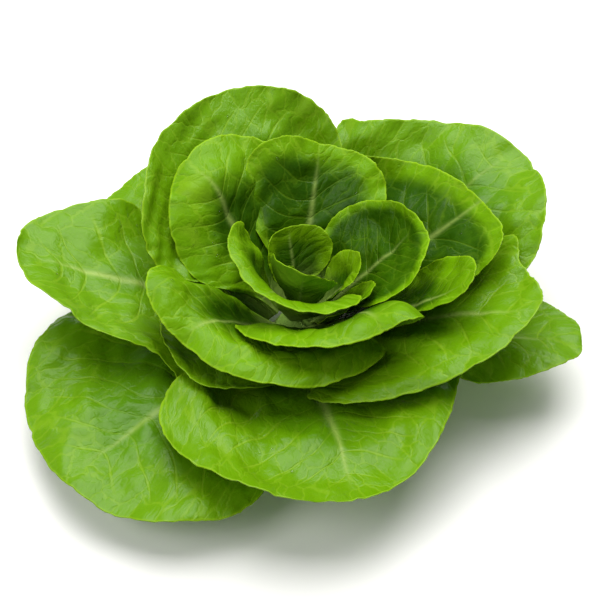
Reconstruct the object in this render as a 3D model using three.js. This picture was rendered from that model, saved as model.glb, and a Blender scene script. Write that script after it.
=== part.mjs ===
// Butterhead lettuce, as picked: an open rosette of soft round leaves round a short stem.
// The head rests on its cut stem.
// Millimetres, +Z up. The origin is the centre of the cut, on the surface that the head rests on.
// Azimuths are in degrees from +X, counter-clockwise from above, and -Y is the front.
import * as THREE from "three";

const DEGREE = Math.PI / 180;

// The stem is a cone with a flat cut below and a rounded tip in the heart.
const STEM = {
  cutRadius: 14.5,
  rootRadius: 15.4,
  rootHeight: 4,
  tipRadius: 3.4,
  tipHeight: 34,
  budRadius: 2,
  budHeight: 36,
  topHeight: 36.6,
  sides: 28,
};

// The leaves lie in nested cups round the stem: cup 0 is the heart and cup 1 the lowest outer leaf.
// A cup's profile starts on the stem's flank.
// Its climb changes evenly from startClimb to endClimb over its reach.
const CUP = {
  heartRoot: { radius: 5, height: 34 },
  outerRoot: { radius: 17, height: 6 },
  reach: 150,
  startClimb: (cup) => 70 - 70 * cup + 20 * cup ** 2,
  endClimb: (cup) => 95 - 20 * cup - 95 * cup ** 2,
};

// The whole head leans to +X by this share of its height.
const LEAN = 0.15;

// What all the blades share. Lengths are in millimetres and angles in degrees.
// widestShare, ribHeight and ribWidth are shares of the leaf's length, and rolledShare one of a ray's.
// rootShare is the most that a root takes of its side's span, so that a narrow side doesn't fold over.
// lastRay is how far round its shoulder the margin runs on each side.
// spreading above 1 keeps a blade narrow near its root and spreads it towards the margin.
// rowCrowding above 1 sets the rows closer together near the margin.
// columnWidth is how far apart the columns stand on the widest arc.
const BLADE = {
  thickness: 0.9,
  rootSpan: 36,
  widestShare: 0.54,
  rootShare: 0.65,
  shoulderTurn: 142,
  lastRay: 0.845,
  spreading: 1.5,
  ribHeight: 0.014,
  ribWidth: 0.03,
  tipRibWidth: 0.5,
  rolledShare: 0.5,
  rowCrowding: 1.25,
  columnWidth: 5,
  leastColumns: 14,
  mostColumns: 22,
  rows: 7,
};

// One entry for each leaf, from the heart outwards.
// span: how far the blade reaches each way round the stem, clockwise and counter-clockwise.
// rootSpan: how far its root does.
// reach: how much longer than an even oval the blade is, at places spread evenly along its margin.
// lift: how much further out than its own cup the margin leans, at such places.
// roll: how far the margin curls outwards, at such places, over rollWidth.
// wave: height, count and phase of the blade's undulation.
const LEAVES = [
  { name: "heart_leaf_1", azimuth: 180, cup: 0.0, length: 22, span: [60, 60] },
  { name: "heart_leaf_2", azimuth: 255, cup: 0.06, length: 46, span: [80, 80], reach: [1, 1.2, 1, 0.8, 1] },
  {
    name: "heart_leaf_3", azimuth: 118, cup: 0.12, length: 41, span: [70, 60],
    reach: [1, 1, 1, 0.95, 1.05, 1, 1],
  },
  { name: "heart_leaf_4", azimuth: 347, cup: 0.16, length: 40, span: [40, 60] },
  {
    name: "cup_leaf_1", azimuth: 232, cup: 0.215, length: 60, span: [75, 90],
    reach: [1, 1.4, 0.95, 1.08, 1], roll: [0, 30, 60, 40, 10], rollWidth: 14,
  },
  { name: "cup_leaf_2", azimuth: 324, cup: 0.305, length: 44, span: [36, 36] },
  {
    name: "cup_leaf_4", azimuth: 300, cup: 0.36, length: 85, span: [84, 28], rootSpan: 24,
    reach: [1, 0.95, 0.86, 0.95, 1.1, 1.15, 1], lift: [0, 0, 0.03, 0.12, 0.2],
    roll: [50, 70, 70, 60, 30], rollWidth: 20,
  },
  {
    name: "cup_leaf_3", azimuth: 15, cup: 0.4, length: 68, span: [50, 60],
    reach: [1, 1, 1.06, 1.04, 0.94, 0.92, 1],
  },
  {
    name: "inner_leaf_1", azimuth: 88, cup: 0.44, length: 86, span: [46, 42],
    reach: [1, 1, 0.98, 0.94, 1.12, 1.1, 1], roll: [0, 30, 30, 20, 0], rollWidth: 16,
  },
  {
    name: "inner_leaf_3", azimuth: 143, cup: 0.49, length: 101, span: [42, 36],
    reach: [1, 1, 1.01, 0.96, 0.84, 0.78, 0.85], roll: [0, 10, 50, 60, 0], rollWidth: 27,
  },
  {
    name: "inner_leaf_4", azimuth: 215, cup: 0.53, length: 85, span: [38, 102],
    reach: [1, 1.2, 1.18, 0.95, 0.86, 1.05, 1], lift: [0, 0, 0, -0.04, -0.04],
    roll: [20, 50, 90, 60, 10], rollWidth: 26,
  },
  { name: "inner_leaf_2", azimuth: 338, cup: 0.545, length: 94, span: [11, 26], rootSpan: 22 },
  {
    name: "inner_leaf_5", azimuth: 20, cup: 0.62, length: 112, span: [32, 54], rootSpan: 22,
    reach: [1, 1, 1, 0.85, 0.87, 1.15, 1],
  },
  {
    name: "outer_leaf_1", azimuth: 121, cup: 0.645, length: 117, span: [47, 58],
    reach: [1, 0.9, 1, 1.01, 0.96, 1, 1], wave: [1.5, 4, 0],
  },
  {
    name: "outer_leaf_2", azimuth: 340, cup: 0.695, length: 120, span: [70, 32], rootSpan: 30,
    reach: [1, 0.88, 0.67, 0.7, 0.95, 0.93, 1.15, 1, 1], lift: [-0.03, -0.03, 0, 0, 0],
    roll: [60, 60, 70, 60, 20, 0, 0, 0, 0], rollWidth: 22,
  },
  {
    name: "outer_leaf_4", azimuth: 35, cup: 0.755, length: 132, span: [42, 47],
    reach: [1, 1, 0.97, 0.96, 0.92, 1.3, 1.1], wave: [2, 4, 1],
  },
  { name: "outer_leaf_3", azimuth: 218, cup: 0.76, length: 72, span: [40, 40] },
  {
    name: "outer_leaf_5", azimuth: 176, cup: 0.82, length: 142, span: [28, 50],
    reach: [1, 1, 0.92, 0.98, 0.58, 0.9, 1], wave: [1.5, 4, 2],
  },
  {
    name: "outer_leaf_6", azimuth: 281, cup: 0.87, length: 119, span: [62, 60],
    reach: [1, 0.93, 0.98, 0.98, 0.8, 1.14, 1], wave: [2, 4, 0.5],
  },
  { name: "outer_leaf_7", azimuth: 142, cup: 0.9, length: 112, span: [32, 32], rootSpan: 20 },
  {
    name: "outer_leaf_8", azimuth: 347, cup: 0.91, length: 128, span: [17, 18], rootSpan: 28,
    reach: [1, 1, 0.94, 1, 1, 1, 1], wave: [2, 3, 0],
  },
  { name: "outer_leaf_10", azimuth: 64, cup: 0.935, length: 105, span: [36, 36], wave: [2, 3, 1] },
  { name: "outer_leaf_9", azimuth: 222, cup: 0.96, length: 135, span: [47, 42], wave: [2, 4, 3] },
];

const PLAIN_LEAF = {
  rootSpan: BLADE.rootSpan,
  reach: [1, 1],
  lift: [0, 0],
  roll: [0, 0],
  rollWidth: 20,
  wave: [0, 0, 0],
};

const COLORS = { stem: 0xd9dfb4, heart: 0x8cbd3a, blade: 0x6aa51c };

const mix = (from, to, share) => from + (to - from) * share;

// Values spread evenly along the margin, from its clockwise to its counter-clockwise side.
// They are read at ray, from -1 to 1, on a smooth curve through them.
function alongMargin(values, ray) {
  const last = values.length - 1;
  const place = ((ray + 1) / 2) * last;
  const index = Math.max(0, Math.min(last - 1, Math.floor(place)));
  const [a, b, c, d] = [-1, 0, 1, 2].map((step) => values[Math.max(0, Math.min(last, index + step))]);
  const t = place - index;
  return b + (t * (c - a + t * (2 * a - 5 * b + 4 * c - d + t * (3 * b - a - 3 * c + d)))) / 2;
}

// Radius and height on a cup's profile, at a distance along it from the stem.
function cupProfile(cup, distance) {
  const start = CUP.startClimb(cup) * DEGREE;
  const halfTurn = ((CUP.endClimb(cup) * DEGREE - start) * distance) / CUP.reach / 2;
  const chord = Math.abs(halfTurn) < 1e-6 ? distance : (distance * Math.sin(halfTurn)) / halfTurn;
  return {
    radius: mix(CUP.heartRoot.radius, CUP.outerRoot.radius, cup) + chord * Math.cos(start + halfTurn),
    height: mix(CUP.heartRoot.height, CUP.outerRoot.height, cup) + chord * Math.sin(start + halfTurn),
  };
}

// Where ray (-1 to 1 round the blade) and share (0 at the root, 1 at the margin) lie on the flat blade:
// turn is degrees round the stem from the midrib, and distance is along the cup's profile.
function flatPoint(leaf, ray, share) {
  const turn = ray * BLADE.shoulderTurn * DEGREE;
  const span = leaf.span[ray < 0 ? 0 : 1];
  const root = Math.min(leaf.rootSpan, span * BLADE.rootShare);
  const widest = leaf.length * BLADE.widestShare;
  const oval = widest + (leaf.length - widest) * Math.cos(turn);
  return {
    turn: mix(ray * root, span * Math.sin(turn), Math.max(0, share) ** BLADE.spreading),
    distance: share * oval * alongMargin(leaf.reach, ray),
  };
}

function cupSurface(leaf, ray, share) {
  const flat = flatPoint(leaf, ray, share);
  const cup = leaf.cup + alongMargin(leaf.lift, ray) * share ** 2;
  const { radius, height } = cupProfile(cup, flat.distance);
  const azimuth = (leaf.azimuth + flat.turn) * DEGREE;
  return new THREE.Vector3(radius * Math.cos(azimuth), radius * Math.sin(azimuth), height);
}

// Unit vectors of a surface at a point: along its ray, and out of the blade's lower face.
function directions(surface, leaf, ray, share) {
  const step = 0.004;
  const along = surface(leaf, ray, share + step).sub(surface(leaf, ray, share - step)).normalize();
  const round = surface(leaf, ray + step, share).sub(surface(leaf, ray - step, share));
  return { along, out: round.cross(along).normalize() };
}

// The blade's middle surface: the cup, with its undulation and with its margin curled outwards on a circle.
function bladeSurface(leaf, ray, share) {
  const point = cupSurface(leaf, ray, share);
  const { along, out } = directions(cupSurface, leaf, ray, share);
  const rayLength = cupSurface(leaf, ray, 1).distanceTo(cupSurface(leaf, ray, 0));
  const rollWidth = Math.min(leaf.rollWidth, rayLength * BLADE.rolledShare);
  const pastRidge = Math.max(0, rollWidth - (1 - share) * rayLength);
  const curl = alongMargin(leaf.roll, ray) * DEGREE;
  const curlRadius = rollWidth / Math.max(curl, 1e-3);
  const turned = pastRidge / curlRadius;
  const [height, count, phase] = leaf.wave;
  const wave = height * Math.sin(count * ray * Math.PI + phase) * share ** 3;
  point.addScaledVector(out, curlRadius * (1 - Math.cos(turned)) + wave);
  return point.addScaledVector(along, curlRadius * Math.sin(turned) - pastRidge);
}

// How far the midrib stands out of the blade's lower face.
function ribHeight(leaf, ray, share) {
  const flat = flatPoint(leaf, ray, share);
  const across = flat.turn * DEGREE * cupProfile(leaf.cup, flat.distance).radius;
  const toTip = 1 - flat.distance / leaf.length;
  const width = leaf.length * BLADE.ribWidth * mix(BLADE.tipRibWidth, 1, toTip);
  return leaf.length * BLADE.ribHeight * toTip * Math.exp(-((across / width) ** 2));
}

// The number of columns across a blade: an even number, so that the midrib lies on one.
function columnCount(leaf) {
  const { radius } = cupProfile(leaf.cup, leaf.length * BLADE.widestShare);
  const wanted = ((leaf.span[0] + leaf.span[1]) * DEGREE * radius) / BLADE.columnWidth;
  return 2 * Math.round(Math.min(BLADE.mostColumns, Math.max(BLADE.leastColumns, wanted)) / 2);
}

// A closed solid from the blade's surface: a grid on each face, split alike, and a rim between them.
function bladeSolid(leaf) {
  const { rows } = BLADE;
  const columns = columnCount(leaf);
  const positions = [];
  const indices = [];
  for (const face of [-1, 1])
    for (let row = 0; row <= rows; row++)
      for (let column = 0; column <= columns; column++) {
        const ray = ((2 * column) / columns - 1) * BLADE.lastRay;
        const share = 1 - (1 - row / rows) ** BLADE.rowCrowding;
        const { out } = directions(bladeSurface, leaf, ray, share);
        const depth = BLADE.thickness / 2 + (face > 0 ? ribHeight(leaf, ray, share) : 0);
        positions.push(...bladeSurface(leaf, ray, share).addScaledVector(out, face * depth).toArray());
      }
  const faceSize = (columns + 1) * (rows + 1);
  const at = (row, column) => row * (columns + 1) + column;
  for (let row = 0; row < rows; row++)
    for (let column = 0; column < columns; column++) {
      const [a, b] = [at(row, column), at(row, column + 1)];
      const [d, c] = [at(row + 1, column), at(row + 1, column + 1)];
      const split = column < columns / 2 ? [a, b, c, a, c, d] : [a, b, d, b, c, d];
      indices.push(...split.map((i) => i + faceSize), ...split.reverse());
    }
  const rim = [];
  for (let column = 0; column < columns; column++) rim.push(at(0, column));
  for (let row = 0; row < rows; row++) rim.push(at(row, columns));
  for (let column = columns; column > 0; column--) rim.push(at(rows, column));
  for (let row = rows; row > 0; row--) rim.push(at(row, 0));
  rim.forEach((here, i) => {
    const next = rim[(i + 1) % rim.length];
    indices.push(here, next, next + faceSize, here, next + faceSize, here + faceSize);
  });
  const geometry = new THREE.BufferGeometry();
  geometry.setAttribute("position", new THREE.Float32BufferAttribute(positions, 3));
  geometry.setIndex(indices);
  return geometry;
}

function stemSolid() {
  const profile = [
    new THREE.Vector2(0, 0),
    new THREE.Vector2(STEM.cutRadius, 0),
    new THREE.Vector2(STEM.rootRadius, STEM.rootHeight),
    new THREE.Vector2(STEM.tipRadius, STEM.tipHeight),
    new THREE.Vector2(STEM.budRadius, STEM.budHeight),
    new THREE.Vector2(0, STEM.topHeight),
  ];
  return new THREE.LatheGeometry(profile, STEM.sides).rotateX(Math.PI / 2);
}

const lettuce = new THREE.Group();
const leaning = new THREE.Matrix4().set(1, 0, LEAN, 0, 0, 1, 0, 0, 0, 0, 1, 0, 0, 0, 0, 1);

function addPiece(name, geometry, color, roughness) {
  const material = new THREE.MeshStandardMaterial({ color, roughness, metalness: 0 });
  const mesh = new THREE.Mesh(geometry.applyMatrix4(leaning), material);
  mesh.name = name;
  lettuce.add(mesh);
}

addPiece("stem", stemSolid(), COLORS.stem, 0.6);
for (const leaf of LEAVES) {
  const color = leaf.name.startsWith("heart") ? COLORS.heart : COLORS.blade;
  addPiece(leaf.name, bladeSolid({ ...PLAIN_LEAF, ...leaf }), color, 0.45);
}

export default lettuce;
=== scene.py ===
"""Butterhead lettuce: an open rosette of soft round leaves on a short cut stem.

Lengths in the leaf table are in millimetres, as in the CAD model, and everything else is in metres.
The leaves stand where their CAD solids stand, with finer waves, veins and margins.
"""

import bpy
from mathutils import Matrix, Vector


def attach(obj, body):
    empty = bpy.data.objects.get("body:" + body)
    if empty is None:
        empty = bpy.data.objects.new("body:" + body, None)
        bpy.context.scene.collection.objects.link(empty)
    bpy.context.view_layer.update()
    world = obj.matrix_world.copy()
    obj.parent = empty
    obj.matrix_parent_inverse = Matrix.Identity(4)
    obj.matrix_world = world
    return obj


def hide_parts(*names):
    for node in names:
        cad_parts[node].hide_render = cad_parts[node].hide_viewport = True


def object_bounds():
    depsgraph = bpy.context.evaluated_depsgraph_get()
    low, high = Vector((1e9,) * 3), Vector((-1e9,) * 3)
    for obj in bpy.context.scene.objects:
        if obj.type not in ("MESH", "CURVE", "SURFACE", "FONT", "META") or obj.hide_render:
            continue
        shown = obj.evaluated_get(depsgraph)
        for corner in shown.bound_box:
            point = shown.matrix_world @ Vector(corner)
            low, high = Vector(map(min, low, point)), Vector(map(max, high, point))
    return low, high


bl_info = {
    "name": "Butterhead Lettuce",
    "version": (1, 0, 0),
    "blender": (4, 5, 0),
    "location": "3D View > Sidebar > Lettuce",
    "description": "Builds a picked butterhead lettuce with its studio floor, lights and camera",
    "category": "Object",
}

import math

import bpy
import numpy as np
from mathutils import Vector

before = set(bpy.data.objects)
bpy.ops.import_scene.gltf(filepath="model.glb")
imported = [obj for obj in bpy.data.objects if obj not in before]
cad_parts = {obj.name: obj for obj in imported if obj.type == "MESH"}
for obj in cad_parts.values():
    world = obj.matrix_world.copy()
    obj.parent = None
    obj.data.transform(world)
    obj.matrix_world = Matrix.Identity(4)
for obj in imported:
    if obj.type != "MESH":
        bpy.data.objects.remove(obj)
CAD_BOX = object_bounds()

MM = 0.001
MM_A_METRE = 1000.0

# ---------------------------------------------------------------------------------------------
# The leaves' form, the same as in the CAD model
# ---------------------------------------------------------------------------------------------

# Each leaf is a patch of a cup: 0 is the tight cup of the heart and 1 the flat one of the lowest leaves.
HEART_ROOT = (5, 34)
OUTER_ROOT = (17, 6)
CUP_REACH = 150
LEAN = 0.15

ROOT_SPAN = 36
ROOT_SHARE = 0.65
WIDEST_SHARE = 0.54
SHOULDER_TURN = 142
LAST_RAY = 0.845
SPREADING = 1.5
ROLLED_SHARE = 0.5
ROW_CROWDING = 1.25
COLUMN_WIDTH = 5
COLUMN_LIMITS = (14, 22)
CAD_ROWS = 7

# How far in from the margin each blade stays bright. Further in, the colour is painted shade: a darker
# green that stands in for the shade deep in the head and near the leaves' roots.
BRIGHT_BAND = dict(
    heart_leaf_1=10, heart_leaf_2=16, heart_leaf_3=12, heart_leaf_4=18,
    cup_leaf_1=22, cup_leaf_2=14, cup_leaf_3=6, cup_leaf_4=30,
    inner_leaf_1=16, inner_leaf_2=36, inner_leaf_3=38, inner_leaf_4=46, inner_leaf_5=14,
    outer_leaf_1=60, outer_leaf_2=56, outer_leaf_3=20, outer_leaf_4=34, outer_leaf_5=95,
    outer_leaf_6=66, outer_leaf_7=60, outer_leaf_8=110, outer_leaf_9=56, outer_leaf_10=60,
)

# The relief's waves: the shortest and the longest one in millimetres, and how many are laid together.
# The margin's own length is measured in so many steps, and leaves shorter than the full size have
# lower relief.
NOTCH_WAVES = (11, 45, 6)
TOOTH_WAVES = (2.2, 6, 5)
RUFFLE_WAVES = (42, 105, 8)
FRILL_WAVES = (7, 12, 4)
BLISTER_WAVES = (11, 30, 14)
VEIN_WAVES = (28, 70, 8)
SCAR_WAVES = (0.5, 1.4, 5)
MARGIN_STEPS = 400
FULL_SIZE_LENGTH = 90

# Where each kind of relief starts and is full on the way from the root to the margin, how much of the
# shoulders stays calm, and how steeply the waves and cuts at the margin fade inwards.
RUFFLED = (0.25, 0.9)
BLISTERED = (0.2, 0.5)
VEINED = (0.15, 0.45)
VEINS_END = (0.8, 1.0)
THINNED = (0.3, 1.0)
CALM_SHOULDER = 0.16
FRILL_FADE = 10
NOTCH_FADE = 12
TOOTH_FADE = 60

# The side veins: how many a leaf has, the least space between them, how they slant and curve away from
# the midrib, how far the two sides are out of step, and how far the veins wander.
VEINS_A_LEAF = 8.5
LEAST_VEIN_SPACE = 5.0
VEIN_SLANT = 0.55
VEIN_CURVE = 0.0055
VEIN_STEP = 0.25
MIDRIB_SIDE = 7
VEIN_WANDER = 0.16
VEIN_HALF_WIDTHS = (0.2, 3.2)
RIB_WIDTH = 0.036
RIB_HEIGHT = 0.0155
RIB_SHARE_ABOVE = 0.25

# Points this close to the CAD model's box are eased back inside it.
BOX_EASE = 0.002

# One entry for each leaf, from the heart outwards. span is how far the blade reaches each way, clockwise
# and counter-clockwise. reach, lift and roll are spread evenly along the margin, clockwise side first.
# wave is height, count and phase.
LEAVES = [
    dict(name="heart_leaf_1", azimuth=180, cup=0.0, length=22, span=(60, 60)),
    dict(name="heart_leaf_2", azimuth=255, cup=0.06, length=46, span=(80, 80),
         reach=(1, 1.2, 1, 0.8, 1)),
    dict(name="heart_leaf_3", azimuth=118, cup=0.12, length=41, span=(70, 60),
         reach=(1, 1, 1, 0.95, 1.05, 1, 1)),
    dict(name="heart_leaf_4", azimuth=347, cup=0.16, length=40, span=(40, 60)),
    dict(name="cup_leaf_1", azimuth=232, cup=0.215, length=60, span=(75, 90),
         reach=(1, 1.4, 0.95, 1.08, 1), roll=(0, 30, 60, 40, 10), roll_width=14),
    dict(name="cup_leaf_2", azimuth=324, cup=0.305, length=44, span=(36, 36)),
    dict(name="cup_leaf_4", azimuth=300, cup=0.36, length=85, span=(84, 28), root_span=24,
         reach=(1, 0.95, 0.86, 0.95, 1.1, 1.15, 1), lift=(0, 0, 0.03, 0.12, 0.2),
         roll=(50, 70, 70, 60, 30), roll_width=20),
    dict(name="cup_leaf_3", azimuth=15, cup=0.4, length=68, span=(50, 60),
         reach=(1, 1, 1.06, 1.04, 0.94, 0.92, 1)),
    dict(name="inner_leaf_1", azimuth=88, cup=0.44, length=86, span=(46, 42),
         reach=(1, 1, 0.98, 0.94, 1.12, 1.1, 1), roll=(0, 30, 30, 20, 0), roll_width=16),
    dict(name="inner_leaf_3", azimuth=143, cup=0.49, length=101, span=(42, 36),
         reach=(1, 1, 1.01, 0.96, 0.84, 0.78, 0.85), roll=(0, 10, 50, 60, 0), roll_width=27),
    dict(name="inner_leaf_4", azimuth=215, cup=0.53, length=85, span=(38, 102),
         reach=(1, 1.2, 1.18, 0.95, 0.86, 1.05, 1), lift=(0, 0, 0, -0.04, -0.04),
         roll=(20, 50, 90, 60, 10), roll_width=26),
    dict(name="inner_leaf_2", azimuth=338, cup=0.545, length=94, span=(11, 26), root_span=22),
    dict(name="inner_leaf_5", azimuth=20, cup=0.62, length=112, span=(32, 54), root_span=22,
         reach=(1, 1, 1, 0.85, 0.87, 1.15, 1)),
    dict(name="outer_leaf_1", azimuth=121, cup=0.645, length=117, span=(47, 58),
         reach=(1, 0.9, 1, 1.01, 0.96, 1, 1), wave=(1.5, 4, 0)),
    dict(name="outer_leaf_2", azimuth=340, cup=0.695, length=120, span=(70, 32), root_span=30,
         reach=(1, 0.88, 0.67, 0.7, 0.95, 0.93, 1.15, 1, 1), lift=(-0.03, -0.03, 0, 0, 0),
         roll=(60, 60, 70, 60, 20, 0, 0, 0, 0), roll_width=22),
    dict(name="outer_leaf_4", azimuth=35, cup=0.755, length=132, span=(42, 47),
         reach=(1, 1, 0.97, 0.96, 0.92, 1.3, 1.1), wave=(2, 4, 1)),
    dict(name="outer_leaf_3", azimuth=218, cup=0.76, length=72, span=(40, 40)),
    dict(name="outer_leaf_5", azimuth=176, cup=0.82, length=142, span=(28, 50),
         reach=(1, 1, 0.92, 0.98, 0.58, 0.9, 1), wave=(1.5, 4, 2)),
    dict(name="outer_leaf_6", azimuth=281, cup=0.87, length=119, span=(62, 60),
         reach=(1, 0.93, 0.98, 0.98, 0.8, 1.14, 1), wave=(2, 4, 0.5)),
    dict(name="outer_leaf_7", azimuth=142, cup=0.9, length=112, span=(32, 32), root_span=20),
    dict(name="outer_leaf_8", azimuth=347, cup=0.91, length=128, span=(17, 18), root_span=28,
         reach=(1, 1, 0.94, 1, 1, 1, 1), wave=(2, 3, 0)),
    dict(name="outer_leaf_10", azimuth=64, cup=0.935, length=105, span=(36, 36), wave=(2, 3, 1)),
    dict(name="outer_leaf_9", azimuth=222, cup=0.96, length=135, span=(47, 42), wave=(2, 4, 3)),
]
PLAIN_LEAF = dict(root_span=ROOT_SPAN, reach=(1, 1), lift=(0, 0), roll=(0, 0), roll_width=20,
                  wave=(0, 0, 0))

# The stem's profile as radius and height, from the cut to the tip in the heart.
STEM_PROFILE = [(14.5, 0), (15.4, 4), (3.4, 34), (2, 36), (0, 36.6)]


def mix(start, end, share):
    """The value a share of the way from start to end."""
    return start + (end - start) * share


def smooth(value, low, high):
    """0 below low, 1 above high and a smooth rise between them."""
    t = np.clip((value - low) / (high - low), 0, 1)
    return t * t * (3 - 2 * t)


def ripples(rng, shortest, longest, count):
    """A smooth irregular wave of about -1 to 1 along one length, or over a surface given two."""
    lengths = np.geomspace(shortest, longest, count)
    turns = rng.uniform(0, 2 * math.pi, count)
    phases = rng.uniform(0, 2 * math.pi, count)

    def height(along, across=0.0):
        total = 0.0
        for length, turn, phase in zip(lengths, turns, phases):
            place = along * math.cos(turn) + across * math.sin(turn) if np.ndim(across) else along
            total = total + np.sin(2 * math.pi * place / length + phase)
        return total / math.sqrt(count * 1.4)

    return height


def between(values, places):
    """What lies on smooth curves through values, at places counted along their first axis."""
    values = np.asarray(values, float)
    last = len(values) - 1
    index = np.clip(np.floor(places), 0, last - 1).astype(int)
    a, b, c, d = (values[np.clip(index + step, 0, last)] for step in (-1, 0, 1, 2))
    t = (places - index)[(...,) + (None,) * (values.ndim - 1)]
    return b + t * (c - a + t * (2 * a - 5 * b + 4 * c - d + t * (3 * b - a - 3 * c + d))) / 2


def along_margin(values, ray):
    """Values spread evenly along the margin, for rays from -1 to 1."""
    return between(values, (ray + 1) / 2 * (len(values) - 1))


def cup_profile(cup, distance):
    """Radius and height of a cup's wall, a distance from its root."""
    start = np.radians(70 - 70 * cup + 20 * cup**2)
    end = np.radians(95 - 20 * cup - 95 * cup**2)
    half_turn = (end - start) * distance / CUP_REACH / 2
    half_turn = np.where(np.abs(half_turn) < 1e-6, 1e-6, half_turn)
    chord = distance * np.sin(half_turn) / half_turn
    radius = mix(HEART_ROOT[0], OUTER_ROOT[0], cup) + chord * np.cos(start + half_turn)
    height = mix(HEART_ROOT[1], OUTER_ROOT[1], cup) + chord * np.sin(start + half_turn)
    return radius, height


def unit(vectors):
    """The vectors at length 1."""
    return vectors / np.linalg.norm(vectors, axis=-1, keepdims=True)


class Blade:
    """One leaf's surface: ray runs round the margin, and share from 0 at the root to 1 at the margin."""

    def __init__(self, leaf, seed, sizes):
        self.leaf = {**PLAIN_LEAF, **leaf}
        self.sizes = sizes
        rng = np.random.default_rng(seed)
        self.notches = ripples(rng, *NOTCH_WAVES)
        self.teeth = ripples(rng, *TOOTH_WAVES)
        self.ruffles = ripples(rng, *RUFFLE_WAVES)
        self.frills = ripples(rng, *FRILL_WAVES)
        self.blisters = ripples(rng, *BLISTER_WAVES)
        self.vein_wander = ripples(rng, *VEIN_WAVES)
        self.tone = rng.uniform(-1, 1)
        self.rays = np.linspace(-LAST_RAY, LAST_RAY, MARGIN_STEPS)
        edge = self.cup_surface(self.rays, np.ones(MARGIN_STEPS))
        self.arcs = np.r_[0, np.cumsum(np.linalg.norm(np.diff(edge, axis=0), axis=1))]
        self.size_share = min(1.0, self.leaf["length"] / FULL_SIZE_LENGTH)
        self.lit_band = BRIGHT_BAND[leaf["name"]]

    def arc(self, ray):
        """Millimetres along the margin."""
        return np.interp(ray, self.rays, self.arcs)

    def flat_point(self, ray, share):
        """The turn round the stem, in degrees, and the distance from the root."""
        leaf = self.leaf
        turn = np.radians(ray * SHOULDER_TURN)
        span = np.where(ray < 0, leaf["span"][0], leaf["span"][1])
        widest = leaf["length"] * WIDEST_SHARE
        oval = widest + (leaf["length"] - widest) * np.cos(turn)
        distance = share * oval * along_margin(leaf["reach"], ray)
        root = np.minimum(leaf["root_span"], span * ROOT_SHARE)
        return mix(ray * root, span * np.sin(turn), np.maximum(share, 0) ** SPREADING), distance

    def cup_surface(self, ray, share):
        """The blade before its margin is rolled and waved."""
        leaf = self.leaf
        turn, distance = self.flat_point(ray, share)
        cup = leaf["cup"] + along_margin(leaf["lift"], ray) * share**2
        radius, height = cup_profile(cup, distance)
        azimuth = np.radians(leaf["azimuth"] + turn)
        return np.stack([radius * np.cos(azimuth), radius * np.sin(azimuth), height], axis=-1)

    def directions(self, ray, share):
        """Unit vectors along the blade and out of its lower face."""
        step = 0.004
        along = unit(self.cup_surface(ray, share + step) - self.cup_surface(ray, share - step))
        round_stem = self.cup_surface(ray + step, share) - self.cup_surface(ray - step, share)
        return along, unit(np.cross(round_stem, along))

    def rolled(self, ray, share):
        """The blade with its margin rolled over and its broad waves."""
        leaf = self.leaf
        point = self.cup_surface(ray, share)
        along, out = self.directions(ray, share)
        ray_length = np.linalg.norm(self.cup_surface(ray, np.ones_like(share)) -
                                    self.cup_surface(ray, np.zeros_like(share)), axis=-1)
        roll_width = np.minimum(leaf["roll_width"], ray_length * ROLLED_SHARE)
        past_ridge = np.maximum(0, roll_width - (1 - share) * ray_length)
        curl = np.radians(along_margin(leaf["roll"], ray))
        curl_radius = roll_width / np.maximum(curl, 1e-3)
        turned = past_ridge / curl_radius
        height, count, phase = leaf["wave"]
        wave = height * np.sin(count * ray * math.pi + phase) * share**3
        out_by = curl_radius * (1 - np.cos(turned)) + wave
        along_by = curl_radius * np.sin(turned) - past_ridge
        return point + out * out_by[..., None] + along * along_by[..., None]

    def smoothed(self, ray, share):
        """The blade on smooth curves through the points of its CAD mesh, so that it folds no more."""
        leaf = self.leaf
        radius = cup_profile(leaf["cup"], leaf["length"] * WIDEST_SHARE)[0]
        width = math.radians(sum(leaf["span"])) * radius
        columns = 2 * round(np.clip(width / COLUMN_WIDTH, *COLUMN_LIMITS) / 2)
        climb = np.linspace(0, 1, CAD_ROWS + 1)
        coarse = self.rolled(*np.meshgrid(np.linspace(-LAST_RAY, LAST_RAY, columns + 1),
                                          1 - (1 - climb) ** ROW_CROWDING))
        rows = (1 - (1 - share[:, 0]) ** (1 / ROW_CROWDING)) * CAD_ROWS
        surface = between(coarse, rows).swapaxes(0, 1)
        return between(surface, (ray[0] / LAST_RAY + 1) / 2 * columns).swapaxes(0, 1)

    def veins(self, ray, share):
        """Place across and along the blade, the veins' count at it, whole on a vein, and their space."""
        turn, distance = self.flat_point(ray, share)
        across = np.radians(turn) * cup_profile(self.leaf["cup"], distance)[0]
        space = max(LEAST_VEIN_SPACE, self.leaf["length"] / VEINS_A_LEAF)
        rise = VEIN_SLANT * np.abs(across) + VEIN_CURVE * across**2
        count = (distance - rise) / space + VEIN_STEP * np.tanh(across / MIDRIB_SIDE)
        return across, distance, count + VEIN_WANDER * self.vein_wander(across, distance), space

    def relief(self, ray, share, across, distance):
        """How far the blade swells down from its surface, and how far its margin is drawn in."""
        sizes = self.sizes
        arc = self.arc(ray)
        free = smooth(share, *RUFFLED)
        ruffle = self.ruffles(across, distance) * sizes.ruffle_height / MM * self.size_share * free
        frill = self.frills(arc) * sizes.frill_height / MM * share**FRILL_FADE
        blister = self.blisters(across, distance) * sizes.blister_height / MM * smooth(share, *BLISTERED)
        notch = self.notches(arc) * sizes.notch_depth / MM * self.size_share
        tooth = self.teeth(arc) * sizes.tooth_depth / MM
        draw = (notch - np.abs(notch)) / 2 * share**NOTCH_FADE + tooth * share**TOOTH_FADE
        return ruffle + frill - blister, draw

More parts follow.
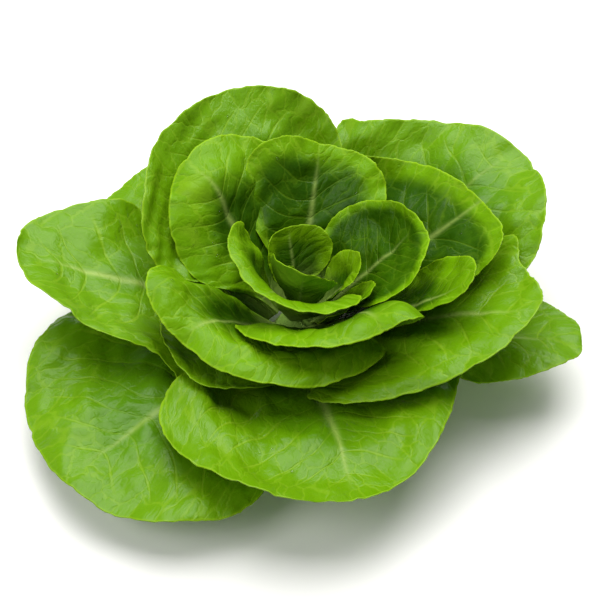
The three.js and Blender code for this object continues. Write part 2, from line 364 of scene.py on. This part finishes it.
    def midrib(self, across, distance):
        """The midrib's height across the blade, as a share, and in millimetres below it."""
        length = self.leaf["length"]
        to_tip = np.clip(1 - distance / length, 0, 1)
        width = length * RIB_WIDTH * to_tip**1.2 + 0.5
        rib = np.exp(-((across / width) ** 2)) * smooth(1 - distance / length, 0, 0.35)
        return rib, length * RIB_HEIGHT * to_tip * rib

    def faces(self, ray, share):
        """The upper and the lower face, with all of the relief, and what the material reads."""
        sizes = self.sizes
        across, distance, count, space = self.veins(ray, share)
        swell, draw = self.relief(ray, share, across, distance)
        rib, rib_height = self.midrib(across, distance)
        vein = 1 - smooth(np.abs((count + 0.5) % 1 - 0.5) * space, *VEIN_HALF_WIDTHS)
        vein = vein * smooth(share, *VEINED) * (1 - smooth(share, *VEINS_END))
        calm = smooth(LAST_RAY - np.abs(ray), 0, CALM_SHOULDER)
        surface = self.smoothed(ray, share)
        to_margin = unit(np.gradient(surface, axis=0))
        out = unit(np.cross(np.gradient(surface, axis=1), to_margin))
        surface = surface + to_margin * (calm * draw)[..., None]
        lift = calm * (swell + vein * sizes.vein_depth / MM * self.size_share)
        thickness = mix(sizes.blade_thickness, sizes.margin_thickness, smooth(share, *THINNED))
        half = thickness / MM / 2
        middle = surface + out * lift[..., None]
        upper = middle - out * (half - rib_height * RIB_SHARE_ABOVE)[..., None]
        lower = middle + out * (half + rib_height)[..., None]
        edge = (1 - share) * np.linalg.norm(surface[-1:] - surface[:1], axis=-1)
        # 1 along the margin and falling to 0 further in, where the material paints shade
        lit_band = 1 - smooth(edge, 0.1 * self.lit_band, self.lit_band)
        skin = dict(across=across, along=distance, count=count, rib=rib, edge=edge, lit_band=lit_band)
        return upper, lower, skin


def place(points):
    """Millimetres in the straight head to metres in the leaning one, eased back inside the CAD box."""
    points = points * MM
    points[..., 0] += LEAN * points[..., 2]
    for axis, (low, high) in enumerate(zip(*CAD_BOX)):
        along = points[..., axis]
        over = np.maximum(along - (high - BOX_EASE), 0)
        along = np.where(over > 0, high - BOX_EASE * np.exp(-over / BOX_EASE), along)
        if axis < 2:
            under = np.maximum(low + BOX_EASE - along, 0)
            along = np.where(under > 0, low + BOX_EASE * np.exp(-under / BOX_EASE), along)
        points[..., axis] = along
    return points


# ---------------------------------------------------------------------------------------------
# Sizes and colours that a user would change
# ---------------------------------------------------------------------------------------------


def length_property(name, description, default):
    """A length in metres."""
    return bpy.props.FloatProperty(name=name, description=description, default=default, min=0.0,
                                   unit="LENGTH", subtype="DISTANCE", precision=5)


def color_property(name, description, default):
    """A linear colour."""
    return bpy.props.FloatVectorProperty(name=name, description=description, default=default, size=3,
                                         min=0.0, max=1.0, subtype="COLOR")


class LettuceSizes(bpy.types.PropertyGroup):
    """Sizes of the leaves' finer relief."""

    blade_thickness: length_property("Blade thickness", "Thickness of a blade near its root", 0.0009)
    margin_thickness: length_property("Margin thickness", "Thickness of a blade at its margin", 0.0004)
    ruffle_height: length_property("Ruffle height", "Height of the soft waves by the margin", 0.0034)
    frill_height: length_property("Frill height", "Height of the short waves at the margin", 0.0003)
    blister_height: length_property("Blister height", "Height of the swellings in the blade", 0.0007)
    vein_depth: length_property("Vein depth", "Depth of the grooves over the side veins", 0.0003)
    notch_depth: length_property("Notch depth", "Depth of the shallow notches in the margin", 0.0008)
    tooth_depth: length_property("Tooth depth", "Depth of the fine teeth in the margin", 0.0002)
    droplet_radius: length_property("Droplet radius", "Radius of the largest water droplets", 0.0012)
    droplet_count: bpy.props.IntProperty(
        name="Droplets", description="How many droplets lie on the leaves", default=150, min=1, max=400)


class LettuceColors(bpy.types.PropertyGroup):
    """Colours of the leaves and the stem."""

    upper: color_property("Upper side", "Main colour of the leaves' upper side", (0.132, 0.312, 0.0010))
    # Deep green gives random darker patches, and is also painted shade further in from the margins of
    # the outer leaves
    deep: color_property("Deep green", "Darker patches of the upper side", (0.080, 0.225, 0.0008))
    # Hollows is painted shade: the dark green that stands in for the shade deep in the head, on the
    # heart, cup and inner leaves away from their margins
    hollow: color_property("Hollows", "Colour of the leaves deep in the head", (0.021, 0.078, 0.0003))
    lower: color_property("Lower side", "Main colour of the leaves' lower side", (0.165, 0.355, 0.012))
    heart: color_property("Heart leaves", "Main colour of the heart's leaves", (0.165, 0.350, 0.002))
    vein: color_property("Veins", "Colour of the vein network", (0.280, 0.470, 0.020))
    rib: color_property("Midribs", "Colour of the thick midribs near the stem", (0.420, 0.560, 0.130))
    margin: color_property("Margin", "Colour of the thin line along the margin", (0.250, 0.460, 0.008))
    glow: color_property("Glow", "Colour of the light that passes through a leaf", (0.260, 0.470, 0.002))
    stem: color_property("Stem", "Colour of the stem's skin", (0.660, 0.720, 0.430))
    cut: color_property("Cut face", "Colour of the stem's cut face", (0.760, 0.740, 0.520))
    latex: color_property("Dried sap", "Colour of the dried sap round the cut", (0.330, 0.160, 0.070))


class LettuceStudio(bpy.types.PropertyGroup):
    """The floor, the lights and the camera."""

    floor: color_property("Floor", "Colour of the floor and the surroundings", (0.92, 0.92, 0.92))
    surroundings: bpy.props.FloatProperty(
        name="Surroundings", description="Strength of the light all round", default=0.24, min=0.0)
    key_power: bpy.props.FloatProperty(
        name="Main light", description="Power of the light above", default=27.0, min=0.0, unit="POWER")
    side_power: bpy.props.FloatProperty(
        name="Side light", description="Power of the left light", default=5.0, min=0.0, unit="POWER")
    elevation: bpy.props.FloatProperty(
        name="Camera height", description="The camera's angle above the floor",
        default=math.radians(50), subtype="ANGLE", unit="ROTATION")
    distance: length_property("Camera distance", "From the camera to its aim", 0.9)
    lens: bpy.props.FloatProperty(
        name="Lens", description="The camera's focal length", default=105.9, min=1.0, unit="CAMERA")
    aim: bpy.props.FloatVectorProperty(
        name="Aim", description="The point that the camera looks at",
        default=(0.007, 0.0, 0.030), size=3, unit="LENGTH", subtype="TRANSLATION")


# ---------------------------------------------------------------------------------------------
# Materials
# ---------------------------------------------------------------------------------------------

# Each skin's main colour and its deep colour, how much light comes through it, and how much it shines.
# The deep colour is painted shade away from the margins: the hollow colour on the heart, cup and inner
# leaves, and the deep green on the outer leaves, where it also gives random darker patches.
SKINS = {
    "heart_skin": ("heart", "hollow", 0.2, 0.12),
    "cup_skin": ("upper", "hollow", 0.12, 0.12),
    "leaf_skin": ("upper", "deep", 0.2, 0.22),
}

# The blade's patterns, as repeats a millimetre. The space between two side veins counts as 11 mm.
SPACE_BETWEEN_VEINS = 11.0
NET_SCALE = 0.085
FINE_NET_SCALE = 0.30
DRIFT_SCALE = 0.11
FINE_DRIFT_SCALE = 0.5
PATCH_SCALE = 0.045
MOTTLE_SCALE = 0.35
GRAIN_SCALE = 2.6

# How far a vein's line reaches from its middle, from where it fades out to where it is full: the side
# veins and the margin's line in millimetres, the networks in cells.
SIDE_LINE = (0.75, 0.15)
MARGIN_LINE = (1.3, 0.2)
NET_LINE = (0.055, 0.012)
FINE_LINE = (0.11, 0.02)
PALE_ROOT = (22.0, 4.0)

# The skin's relief in millimetres, and its gloss.
NET_SWELL = 0.34
FINE_SWELL = 0.05
SIDE_GROOVE = 0.16
NET_GROOVE = 0.07
FINE_GROOVE = 0.02
GRAIN_HEIGHT = 0.035
SKIN_ROUGHNESS = 0.25


class Field:
    """A number that varies over a surface: arithmetic on it adds Math nodes."""

    def __init__(self, tree, socket):
        self.tree = tree
        self.socket = socket

    def math(self, operation, *values):
        """What a Math node makes of the values."""
        node = self.tree.add("ShaderNodeMath", {"operation": operation}, dict(enumerate(values)))
        return Field(self.tree, node.outputs[0])

    def __add__(self, other):
        return self.math("ADD", self, other)

    def __radd__(self, other):
        return self.math("ADD", other, self)

    def __sub__(self, other):
        return self.math("SUBTRACT", self, other)

    def __rsub__(self, other):
        return self.math("SUBTRACT", other, self)

    def __mul__(self, other):
        return self.math("MULTIPLY", self, other)

    def __rmul__(self, other):
        return self.math("MULTIPLY", other, self)

    def __pow__(self, other):
        return self.math("POWER", self, other)

    def __abs__(self):
        return self.math("ABSOLUTE", self)

    def most(self, other):
        """The larger of two numbers."""
        return self.math("MAXIMUM", self, other)

    def to_whole(self):
        """Distance to the nearest whole number, 0 to 0.5."""
        return self.math("PINGPONG", self, 0.5)

    def rise(self, low, high):
        """0 at low, 1 at high and smooth between them; high may be the lower one."""
        ends = {"From Min": min(low, high), "From Max": max(low, high),
                "To Min": float(high < low), "To Max": float(high > low)}
        node = self.tree.add("ShaderNodeMapRange", {"interpolation_type": "SMOOTHSTEP"},
                             {"Value": self, **ends})
        return Field(self.tree, node.outputs["Result"])


class Finish:
    """A material and the nodes in it."""

    def __init__(self, name):
        self.material = bpy.data.materials.new(name)
        self.material.use_nodes = True
        self.nodes = self.material.node_tree.nodes
        self.links = self.material.node_tree.links
        self.nodes.clear()
        self.output = self.nodes.new("ShaderNodeOutputMaterial")

    def add(self, kind, settings=None, sockets=None):
        """One node: its settings first, then its sockets' values or links."""
        node = self.nodes.new(kind)
        for name, value in (settings or {}).items():
            setattr(node, name, value)
        for name, value in (sockets or {}).items():
            self.join(value, node.inputs[name])
        return node

    def join(self, value, socket):
        """Links a field or an output to a socket, or sets the socket's own value."""
        if isinstance(value, Field):
            value = value.socket
        if isinstance(value, bpy.types.NodeSocket):
            self.links.new(value, socket)
        elif socket.type == "RGBA":
            socket.default_value = (*value, 1.0)
        else:
            socket.default_value = value

    def field(self, node, output):
        """A node's output as a field."""
        return Field(self, node.outputs[output])

    def parts(self, vector):
        """A vector's three numbers as fields."""
        node = self.add("ShaderNodeSeparateXYZ", None, {0: vector})
        return [self.field(node, i) for i in range(3)]

    def attribute(self, name):
        """A vector that the mesh holds at each vertex."""
        return self.add("ShaderNodeAttribute", {"attribute_name": name}).outputs["Vector"]

    def blend(self, share, first, second):
        """A colour between two colours."""
        node = self.add("ShaderNodeMix", {"data_type": "RGBA"}, {0: share, 6: first, 7: second})
        return node.outputs[2]

    def object_place(self):
        """The place in the object's own metres."""
        return self.add("ShaderNodeTexCoord").outputs["Object"]

    def noise(self, place, scale, detail=2.0, roughness=0.5):
        """Soft blots, 0 to 1."""
        node = self.add("ShaderNodeTexNoise", None,
                        {"Vector": place, "Scale": scale, "Detail": detail, "Roughness": roughness})
        return self.field(node, "Fac")

    def cells(self, place, scale):
        """Distance from a cell's edge, in cells."""
        node = self.add("ShaderNodeTexVoronoi", {"feature": "DISTANCE_TO_EDGE"},
                        {"Vector": place, "Scale": scale, "Randomness": 1.0})
        return self.field(node, "Distance")

    def bump(self, height):
        """A normal from a height in millimetres."""
        node = self.add("ShaderNodeBump", None, {"Height": height, "Distance": MM, "Strength": 1.0})
        return node.outputs["Normal"]

    def shown(self, shader):
        """The material, with the shader on its surface."""
        self.links.new(shader.outputs[0], self.output.inputs["Surface"])
        return self.material


def blade_finish(name, colors, main_color, deep_and_shade_color, light_through, shine):
    """A leaf's skin: vein network, pale midrib, bright margin with painted shade further in, and a soft
    gloss on the upper side.
    """
    finish = Finish(name)
    place_here = finish.attribute("blade_place")
    across, along, side = finish.parts(place_here)
    count, edge, rib = finish.parts(finish.attribute("blade_veins"))
    tone, lit_band, _ = finish.parts(finish.attribute("blade_tone_and_shade"))

    # The network lies between the side veins, so its cells are measured along them, and drift a little.
    drift = finish.noise(place_here, DRIFT_SCALE)
    fine_drift = finish.noise(place_here, FINE_DRIFT_SCALE)
    warped = count * SPACE_BETWEEN_VEINS + drift * 9.0 + fine_drift * 1.6
    sideways = across + drift * 7.0 - fine_drift * 1.2
    net_place = finish.add("ShaderNodeCombineXYZ", None, {0: sideways, 1: warped}).outputs[0]
    net = finish.cells(net_place, NET_SCALE)
    fine_net = finish.cells(net_place, FINE_NET_SCALE)
    side_vein = count.to_whole() * SPACE_BETWEEN_VEINS + (drift - 0.5) * 1.2
    side_line = abs(side_vein).rise(*SIDE_LINE) * edge.rise(4.0, 20.0)
    net_line = net.rise(*NET_LINE)
    fine_line = fine_net.rise(*FINE_LINE)
    lines = side_line.most(net_line * 0.6).most(fine_line * 0.14)
    lines = lines * (1 - rib)

    patches = finish.noise(place_here, PATCH_SCALE, 3.0, 0.6)
    mottle = finish.noise(place_here, MOTTLE_SCALE, 3.0, 0.6)
    uneven = (patches - 0.5) * 1.1 + (mottle - 0.5) * 0.25 + tone * 0.10
    # bright joins the lit band by the margin with random patches; towards 0 the skin takes the deep
    # colour, which is painted shade, with real deep patches on the outer leaves
    bright = (lit_band + uneven).rise(-0.1, 1.1)
    skin = finish.blend(bright, deep_and_shade_color, main_color)
    skin = finish.blend(side * 0.85, skin, colors.lower)
    skin = finish.blend(lines * (bright * 0.36 + 0.12), skin, colors.vein)
    skin = finish.blend(edge.rise(*MARGIN_LINE) * 0.8, skin, colors.margin)
    pale_root = along.rise(*PALE_ROOT) * 0.35
    skin = finish.blend((rib ** 1.6 * (bright * 0.35 + 0.4)).most(pale_root), skin, colors.rib)

    # Veins are sunk in the upper side and stand out of the lower one, and the skin swells between them.
    pillow = net.rise(0.0, 0.34) * NET_SWELL + fine_net.rise(0.0, 0.3) * FINE_SWELL
    grain = finish.noise(place_here, GRAIN_SCALE, 3.0, 0.6) * GRAIN_HEIGHT
    veins = side_line * SIDE_GROOVE + net_line * NET_GROOVE + fine_line * FINE_GROOVE
    height = (pillow - veins) * (1 - side * 1.7) + grain
    gloss = SKIN_ROUGHNESS + mottle * 0.12 + side * 0.12 + lines * 0.05
    skin_shader = finish.add("ShaderNodeBsdfPrincipled", None, {
        "Base Color": skin, "Roughness": gloss, "Specular IOR Level": shine,
        "Normal": finish.bump(height)})
    glow_shader = finish.add("ShaderNodeBsdfTranslucent", None, {"Color": colors.glow})
    both = finish.add("ShaderNodeMixShader", None,
                      {0: light_through, 1: skin_shader.outputs[0], 2: glow_shader.outputs[0]})
    return finish.shown(both)


def stem_finish(colors):
    """Pale ribbed skin, and a cut face with fine rings and dried sap round its edge."""
    finish = Finish("stem_skin")
    place_here = finish.object_place()
    x, y, z = (part * MM_A_METRE for part in finish.parts(place_here))
    radius = (x * x + y * y) ** 0.5
    grain = finish.noise(place_here, 900.0, 4.0, 0.65)
    blots = finish.noise(place_here, 160.0, 3.0, 0.6)
    rings = (radius * 0.8 + blots * 1.6).to_whole() * 2.0
    on_cut = z.rise(0.7, 0.15)
    core = (radius + blots * 3.0).rise(7.4, 5.8)
    cut = finish.blend(rings * 0.35 + grain * 0.25, colors.cut, colors.rib)
    cut = finish.blend(core * 0.4, cut, colors.stem)
    cut = finish.blend((radius + blots * 2.4).rise(13.0, 15.6) * 0.75, cut, colors.latex)
    skin = finish.blend(grain * 0.4, colors.stem, colors.rib)
    skin = finish.blend(blots.rise(0.56, 0.72) * 0.45, skin, colors.latex)
    skin = finish.blend(z.rise(7.0, 15.0) * 0.85, skin, colors.lower)
    color = finish.blend(on_cut, skin, cut)
    height = grain * 0.12 + rings * on_cut * 0.10 + blots * 0.2
    shader = finish.add("ShaderNodeBsdfPrincipled", None, {
        "Base Color": color, "Roughness": 0.45 + blots * 0.25, "Specular IOR Level": 0.4,
        "Normal": finish.bump(height)})
    return finish.shown(shader)


def water_finish():
    """Clear water with faint unevenness."""
    finish = Finish("water")
    ripple = finish.noise(finish.object_place(), 700.0, 1.0)
    shader = finish.add("ShaderNodeBsdfPrincipled", None, {
        "Base Color": (1.0, 1.0, 1.0), "Roughness": 0.02 + ripple * 0.02, "IOR": 1.33,
        "Transmission Weight": 1.0, "Alpha": 0.45, "Normal": finish.bump(ripple * 0.02)})
    return finish.shown(shader)


def floor_finish(color):
    """A matt, faintly grained floor."""
    finish = Finish("floor_paper")
    grain = finish.noise(finish.object_place(), 60.0, 3.0)
    shade = tuple(0.985 * part for part in color)
    shader = finish.add("ShaderNodeBsdfPrincipled", None, {
        "Base Color": finish.blend(grain, shade, color), "Roughness": 0.9, "Specular IOR Level": 0.1})
    return finish.shown(shader)


# ---------------------------------------------------------------------------------------------
# Pieces
# ---------------------------------------------------------------------------------------------

# The columns and rows of each group's blades.
HEART_GRID = (96, 40)
CUP_GRID = (128, 50)
INNER_GRID = (160, 60)
OUTER_GRID = (176, 64)

# How far apart the leaves read the patterns, in millimetres across and in veins.
PATTERN_SHIFT = 400.0
VEIN_SHIFT = 7

# Where the stem's profile points come on the way from the sphere's lower pole to its upper one.
STEM_STEPS = (0, 0.42, 0.48, 0.94, 0.97, 1)
SCAR_DEPTH = 0.5
DISH_DEPTH = 0.35

# Where a droplet may lie, and the step to the points round it that give its slope.
WET_LENGTH = 80
DROPLET_RAYS = 0.6
DROPLET_SHARES = (0.45, 0.93)
DROPLET_STEP = np.array([-0.01, 0, 0.01])
DROPLET_SINK = 0.15
DROPLET_RISE = 0.55

# The floor, the camera's sensor in millimetres, the lights' colour, and each one's width and place.
FLOOR_WIDTH = 8
FLOOR_HEIGHT = -0.0005
SENSOR_WIDTH = 36
LIGHT_COLOR = (1.0, 0.985, 0.96)
MAIN_LIGHT = (1.2, (0.05, 0.42, 1.16))
SIDE_LIGHT = (0.6, (-0.75, -0.45, 0.85))


def clear_selection():
    """Leaves nothing selected, the CAD nodes included."""
    bpy.ops.object.select_all(action="DESELECT")


def vertex_places(mesh):
    """The vertices' places, one row each."""
    places = np.empty(len(mesh.vertices) * 3)
    mesh.vertices.foreach_get("co", places)
    return places.reshape(-1, 3)


def set_vertex_places(mesh, places):
    """Moves the vertices to places."""
    mesh.vertices.foreach_set("co", np.ascontiguousarray(places, float).ravel())
    mesh.update()


def add_vectors(mesh, name, values):
    """Keeps a vector for each vertex, which the materials read."""
    attribute = mesh.attributes.new(name, "FLOAT_VECTOR", "POINT")
    attribute.data.foreach_set("vector", np.ascontiguousarray(values, np.float32).ravel())


def make_blade(leaf, seed, sizes, columns, rows):
    """A leaf from a flat grid: the grid is thickened, and each face takes its place on the blade."""
    clear_selection()
    bpy.ops.mesh.primitive_grid_add(x_subdivisions=columns, y_subdivisions=rows, size=2)
    piece = bpy.context.object
    piece.name = piece.data.name = leaf["name"] + "_blade"
    flat = vertex_places(piece.data)
    thicken = piece.modifiers.new("thickness", "SOLIDIFY")
    thicken.thickness = sizes.blade_thickness
    thicken.offset = 1
    bpy.ops.object.modifier_apply(modifier=thicken.name)
    if len(piece.data.vertices) != 2 * len(flat):
        raise RuntimeError(f"{piece.name}: the thickened grid has an odd count of vertices")

    order = np.lexsort((flat[:, 0], flat[:, 1]))
    ordered = flat[order].reshape(-1, len(np.unique(flat[:, 0].round(6))), 3)
    ray = ordered[..., 0] * LAST_RAY
    share = 1 - (1 - (ordered[..., 1] + 1) / 2) ** ROW_CROWDING
    blade = Blade(leaf, seed, sizes)
    upper, lower, skin = blade.faces(ray, share)
    grid = np.empty(len(flat), int)
    grid[order] = np.arange(len(flat))

    def in_mesh_order(values):
        """Values of the grid's points, in the order of the mesh's vertices."""
        return values.reshape(len(flat), -1)[grid]

    # Solidify keeps the grid's own vertices first and adds the offset ones after them.
    added_above = vertex_places(piece.data)[-1, 2] > 0
    first, second = (lower, upper) if added_above else (upper, lower)
    points = np.vstack([in_mesh_order(first), in_mesh_order(second)])
    set_vertex_places(piece.data, place(points))
    side = np.repeat([float(added_above), float(not added_above)], len(flat))
    skin = {key: np.tile(in_mesh_order(values)[:, 0], 2) for key, values in skin.items()}

    # Each leaf reads its own part of the patterns.
    across = skin["across"] + PATTERN_SHIFT * seed
    count = skin["count"] + VEIN_SHIFT * seed
    tone = np.full(2 * len(flat), blade.tone)
    add_vectors(piece.data, "blade_place", np.c_[across, skin["along"], side])
    add_vectors(piece.data, "blade_veins", np.c_[count, skin["edge"], skin["rib"]])
    # The second number is the lit band by the margin, beyond which the material paints shade; the first
    # is the leaf's random tone
    add_vectors(piece.data, "blade_tone_and_shade", np.c_[tone, skin["lit_band"], np.zeros_like(tone)])
    bpy.ops.object.mode_set(mode="EDIT")
    bpy.ops.mesh.select_all(action="SELECT")
    bpy.ops.mesh.normals_make_consistent(inside=False)
    bpy.ops.object.mode_set(mode="OBJECT")
    bpy.ops.object.shade_smooth()
    return piece


def grow_leaves(context, group, slot, skin, columns, rows):
    """Makes every leaf of a group, on a grid of so many columns and rows."""
    scene = context.scene
    found = [entry for entry in enumerate(LEAVES) if entry[1]["name"].startswith(group)]
    if not found:
        raise RuntimeError(f"no leaf is named {group}")
    main_color, deep_and_shade_color, light_through, shine = SKINS[skin]
    colors = scene.lettuce_colors
    material = bpy.data.materials.get(skin) or blade_finish(
        skin, colors, getattr(colors, main_color), getattr(colors, deep_and_shade_color), light_through, shine)
    for number, leaf in found:
        piece = make_blade(leaf, number + 1, scene.lettuce_sizes, columns, rows)
        piece.data.materials.append(material)
        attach(piece, "root")
        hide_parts(leaf["name"])


class LETTUCE_OT_stem(bpy.types.Operator):
    """Adds the short stem with its cut face, shaped from a sphere"""

    bl_idname = "lettuce.stem"
    bl_label = "Stem"

    def execute(self, context):
        clear_selection()
        bpy.ops.mesh.primitive_uv_sphere_add(segments=96, ring_count=60, radius=1)
        piece = context.object
        piece.name = piece.data.name = "stem_and_cut"
        points = vertex_places(piece.data)
        climb = 1 - np.arccos(np.clip(points[:, 2], -1, 1)) / math.pi
        azimuth = np.arctan2(points[:, 1], points[:, 0])
        profile = np.array([(0, 0), *STEM_PROFILE], float)
        radius = np.interp(climb, STEM_STEPS, profile[:, 0])
        height = np.interp(climb, STEM_STEPS, profile[:, 1])
        scars = ripples(np.random.default_rng(5), *SCAR_WAVES)
        above_cut = smooth(height, 0.5, 4) * (height < 33)
        radius = radius - SCAR_DEPTH * above_cut * (1 + scars(azimuth * 3 + height * 0.35))
        hollow = smooth(13 - radius, 0, 9) * (1 + 0.4 * np.cos(3 * azimuth)) * (height < 0.01)
        height = height + DISH_DEPTH * hollow
        shaped = np.stack([radius * np.cos(azimuth), radius * np.sin(azimuth), height], axis=-1)
        set_vertex_places(piece.data, place(shaped))
        piece.data.materials.append(stem_finish(context.scene.lettuce_colors))
        bpy.ops.object.shade_smooth_by_angle(angle=math.radians(40))
        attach(piece, "root")
        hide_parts("stem")
        return {"FINISHED"}


class LETTUCE_OT_heart_leaves(bpy.types.Operator):
    """Adds the small leaves of the heart"""

    bl_idname = "lettuce.heart_leaves"
    bl_label = "Heart leaves"

    def execute(self, context):
        grow_leaves(context, "heart", "heart_blade", "heart_skin", *HEART_GRID)
        return {"FINISHED"}


class LETTUCE_OT_cup_leaves(bpy.types.Operator):
    """Adds the cupped leaves that close round the heart"""

    bl_idname = "lettuce.cup_leaves"
    bl_label = "Cup leaves"

    def execute(self, context):
        grow_leaves(context, "cup", "blade", "cup_skin", *CUP_GRID)
        return {"FINISHED"}


class LETTUCE_OT_inner_leaves(bpy.types.Operator):
    """Adds the middle leaves, some with margins rolled over"""

    bl_idname = "lettuce.inner_leaves"
    bl_label = "Inner leaves"

    def execute(self, context):
        grow_leaves(context, "inner", "blade", "cup_skin", *INNER_GRID)
        return {"FINISHED"}


class LETTUCE_OT_outer_leaves(bpy.types.Operator):
    """Adds the broad open leaves that lie round the head"""

    bl_idname = "lettuce.outer_leaves"
    bl_label = "Outer leaves"

    def execute(self, context):
        grow_leaves(context, "outer", "blade", "leaf_skin", *OUTER_GRID)
        return {"FINISHED"}


class LETTUCE_OT_droplets(bpy.types.Operator):
    """Scatters low water droplets over the upper sides of the leaves"""

    bl_idname = "lettuce.droplets"
    bl_label = "Water droplets"

    def execute(self, context):
        sizes = context.scene.lettuce_sizes
        rng = np.random.default_rng(11)
        wet = [entry for entry in enumerate(LEAVES) if entry[1]["length"] > WET_LENGTH]
        drops = []
        for _ in range(sizes.droplet_count):
            number, leaf = wet[rng.integers(len(wet))]
            blade = Blade(leaf, number + 1, sizes)
            ray = rng.uniform(-DROPLET_RAYS, DROPLET_RAYS) + DROPLET_STEP
            share = rng.uniform(*DROPLET_SHARES) + DROPLET_STEP
            upper, _, _ = blade.faces(*np.meshgrid(ray, share))
            spot = upper[1, 1]
            up = unit(np.cross(upper[2, 1] - upper[0, 1], upper[1, 2] - upper[1, 0]))
            side = unit(upper[1, 2] - upper[1, 0])
            size = sizes.droplet_radius / MM * rng.uniform(0.3, 1) ** 1.5
            drops.append((spot, up, side, np.cross(up, side), size))
        clear_selection()
        bpy.ops.mesh.primitive_uv_sphere_add(segments=10, ring_count=6, radius=1)
        seed_drop = context.object
        copies = [seed_drop]
        for _ in drops[1:]:
            copy = seed_drop.copy()
            copy.data = seed_drop.data.copy()
            context.collection.objects.link(copy)
            copies.append(copy)
        for copy, (spot, up, side, third, size) in zip(copies, drops):
            ball = vertex_places(copy.data)
            rise = ball[:, 2:] * np.where(ball[:, 2:] < 0, DROPLET_SINK, DROPLET_RISE)
            shaped = spot + size * (ball[:, :1] * side + ball[:, 1:2] * third + rise * up)
            set_vertex_places(copy.data, place(shaped))
            copy.select_set(True)
        context.view_layer.objects.active = seed_drop
        bpy.ops.object.join()
        piece = context.object
        piece.name = piece.data.name = "droplets"
        bpy.ops.object.mode_set(mode="EDIT")
        bpy.ops.mesh.select_all(action="SELECT")
        bpy.ops.mesh.normals_make_consistent(inside=False)
        bpy.ops.object.mode_set(mode="OBJECT")
        bpy.ops.object.shade_smooth()
        piece.data.materials.append(water_finish())
        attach(piece, "root")
        return {"FINISHED"}


class LETTUCE_OT_stage(bpy.types.Operator):
    """Adds the pale floor, the soft lights and the camera"""

    bl_idname = "lettuce.stage"
    bl_label = "Floor, lights and camera"

    def area_light(self, context, name, power, size, place_at, aim):
        """A soft square light that faces the aim."""
        clear_selection()
        bpy.ops.object.light_add(type="AREA", location=place_at)
        light = context.object
        light.name = name
        light.data.energy = power
        light.data.size = size
        light.data.color = LIGHT_COLOR
        direction = aim - light.location
        light.rotation_euler = direction.to_track_quat("-Z", "Y").to_euler()

    def execute(self, context):
        studio = context.scene.lettuce_studio
        clear_selection()
        bpy.ops.mesh.primitive_plane_add(size=FLOOR_WIDTH, location=(0, 0, FLOOR_HEIGHT))
        floor = context.object
        floor.name = floor.data.name = "floor"
        floor.data.materials.append(floor_finish(tuple(studio.floor)))

        world = bpy.data.worlds.new("surroundings")
        world.use_nodes = True
        background = world.node_tree.nodes["Background"]
        background.inputs["Color"].default_value = (1.0, 1.0, 1.0, 1.0)
        background.inputs["Strength"].default_value = studio.surroundings
        context.scene.world = world

        clear_selection()
        bpy.ops.object.camera_add()
        camera = context.object
        camera.name = "photo_camera"
        aim = Vector(studio.aim)
        back = Vector((0, -math.cos(studio.elevation), math.sin(studio.elevation)))
        camera.location = aim + back * studio.distance
        camera.rotation_euler = (math.radians(90) - studio.elevation, 0, 0)
        camera.data.sensor_width = SENSOR_WIDTH
        camera.data.lens = studio.lens
        context.scene.camera = camera

        self.area_light(context, "main_light", studio.key_power, *MAIN_LIGHT, aim)
        self.area_light(context, "side_light", studio.side_power, *SIDE_LIGHT, aim)
        context.scene.view_settings.view_transform = "Standard"
        return {"FINISHED"}


class LETTUCE_PT_panel(bpy.types.Panel):
    """Lists the lettuce's pieces, sizes and colours"""

    bl_idname = "LETTUCE_PT_panel"
    bl_label = "Butterhead lettuce"
    bl_space_type = "VIEW_3D"
    bl_region_type = "UI"
    bl_category = "Lettuce"

    def draw(self, context):
        layout = self.layout
        for operator in OPERATORS:
            layout.operator(operator.bl_idname)
        for group in ("lettuce_sizes", "lettuce_colors", "lettuce_studio"):
            box = layout.box()
            settings = getattr(context.scene, group)
            for name in settings.__annotations__:
                box.prop(settings, name)


OPERATORS = (
    LETTUCE_OT_stem,
    LETTUCE_OT_heart_leaves,
    LETTUCE_OT_cup_leaves,
    LETTUCE_OT_inner_leaves,
    LETTUCE_OT_outer_leaves,
    LETTUCE_OT_droplets,
    LETTUCE_OT_stage,
)
CLASSES = (LettuceSizes, LettuceColors, LettuceStudio, *OPERATORS, LETTUCE_PT_panel)


def register():
    """Adds the classes, and the scene's sizes, colours and studio."""
    for each in CLASSES:
        bpy.utils.register_class(each)
    bpy.types.Scene.lettuce_sizes = bpy.props.PointerProperty(type=LettuceSizes)
    bpy.types.Scene.lettuce_colors = bpy.props.PointerProperty(type=LettuceColors)
    bpy.types.Scene.lettuce_studio = bpy.props.PointerProperty(type=LettuceStudio)


def unregister():
    """Takes away what register adds."""
    del bpy.types.Scene.lettuce_studio
    del bpy.types.Scene.lettuce_colors
    del bpy.types.Scene.lettuce_sizes
    for each in reversed(CLASSES):
        bpy.utils.unregister_class(each)


def main():
    """Builds the lettuce and its studio."""
    register()
    bpy.ops.lettuce.stem()
    bpy.ops.lettuce.heart_leaves()
    bpy.ops.lettuce.cup_leaves()
    bpy.ops.lettuce.inner_leaves()
    bpy.ops.lettuce.outer_leaves()
    bpy.ops.lettuce.droplets()
    bpy.ops.lettuce.stage()


if __name__ == "__main__":
    main()
